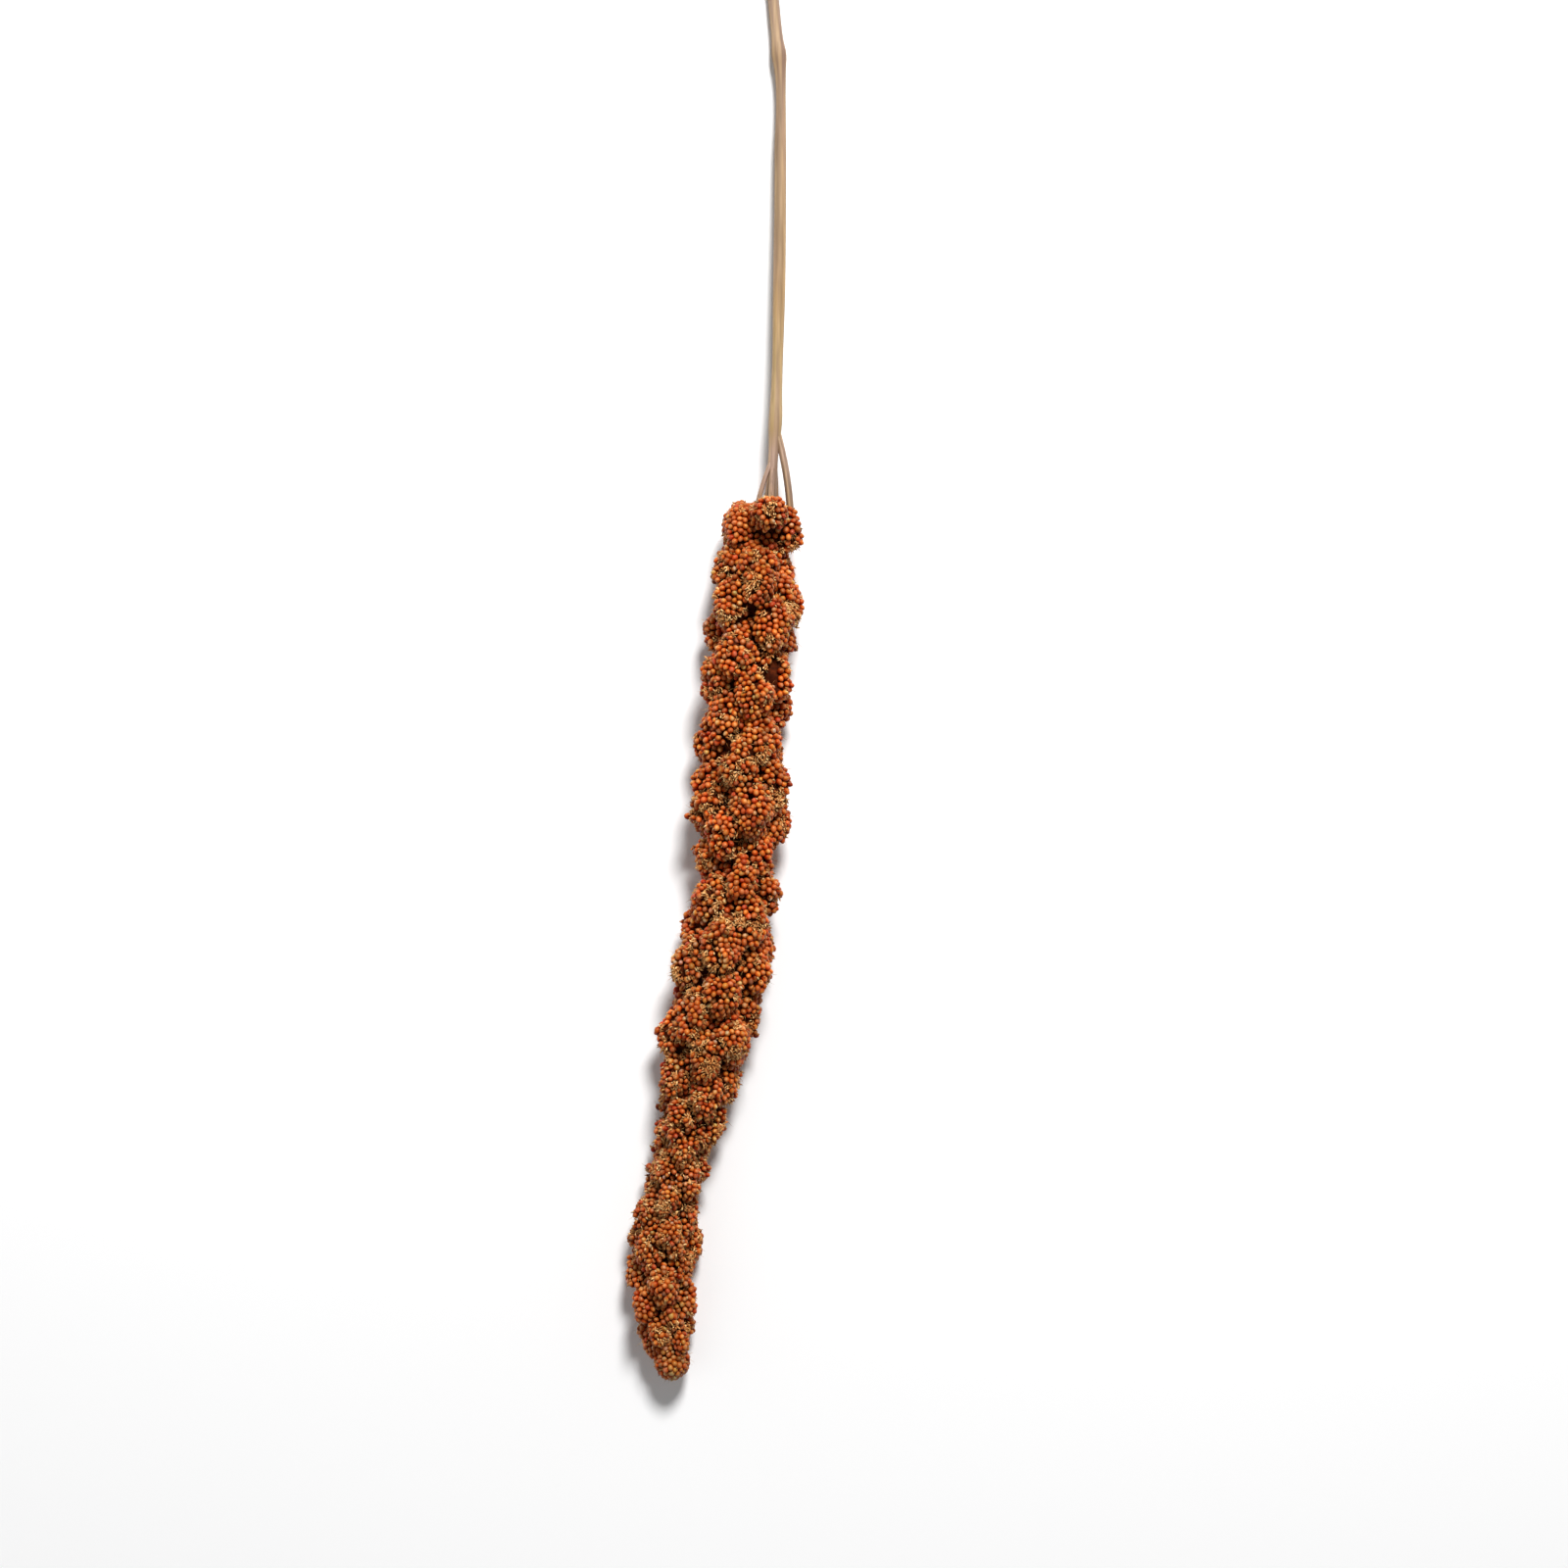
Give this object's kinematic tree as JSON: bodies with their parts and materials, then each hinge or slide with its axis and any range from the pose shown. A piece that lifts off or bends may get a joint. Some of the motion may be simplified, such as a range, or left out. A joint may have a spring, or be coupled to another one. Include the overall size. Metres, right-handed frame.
{
  "type": "millet seed head",
  "caption": "Dried seed head of foxtail millet lying on a surface: a long, gently bent head of lobed grain clusters on its own thin, cut stem.",
  "frame": {"origin": "middle of the whole object's box, on the surface that it lies on", "axes": "+Z up from that surface; +Y along the stem towards its cut end, with the head's tip at -Y; +X to the right seen from above with +Y up"},
  "size_m": [0.0484, 0.4006, 0.0254],
  "materials": {
    "grain": "orange-brown grains in thin glossy hulls, with straw-coloured husks among them",
    "straw": "dry straw, satin, in grey, tan and golden streaks"
  },
  "bodies": {
    "root": {"seed_head": "grain", "stem": "straw"}
  },
  "joints": []
}
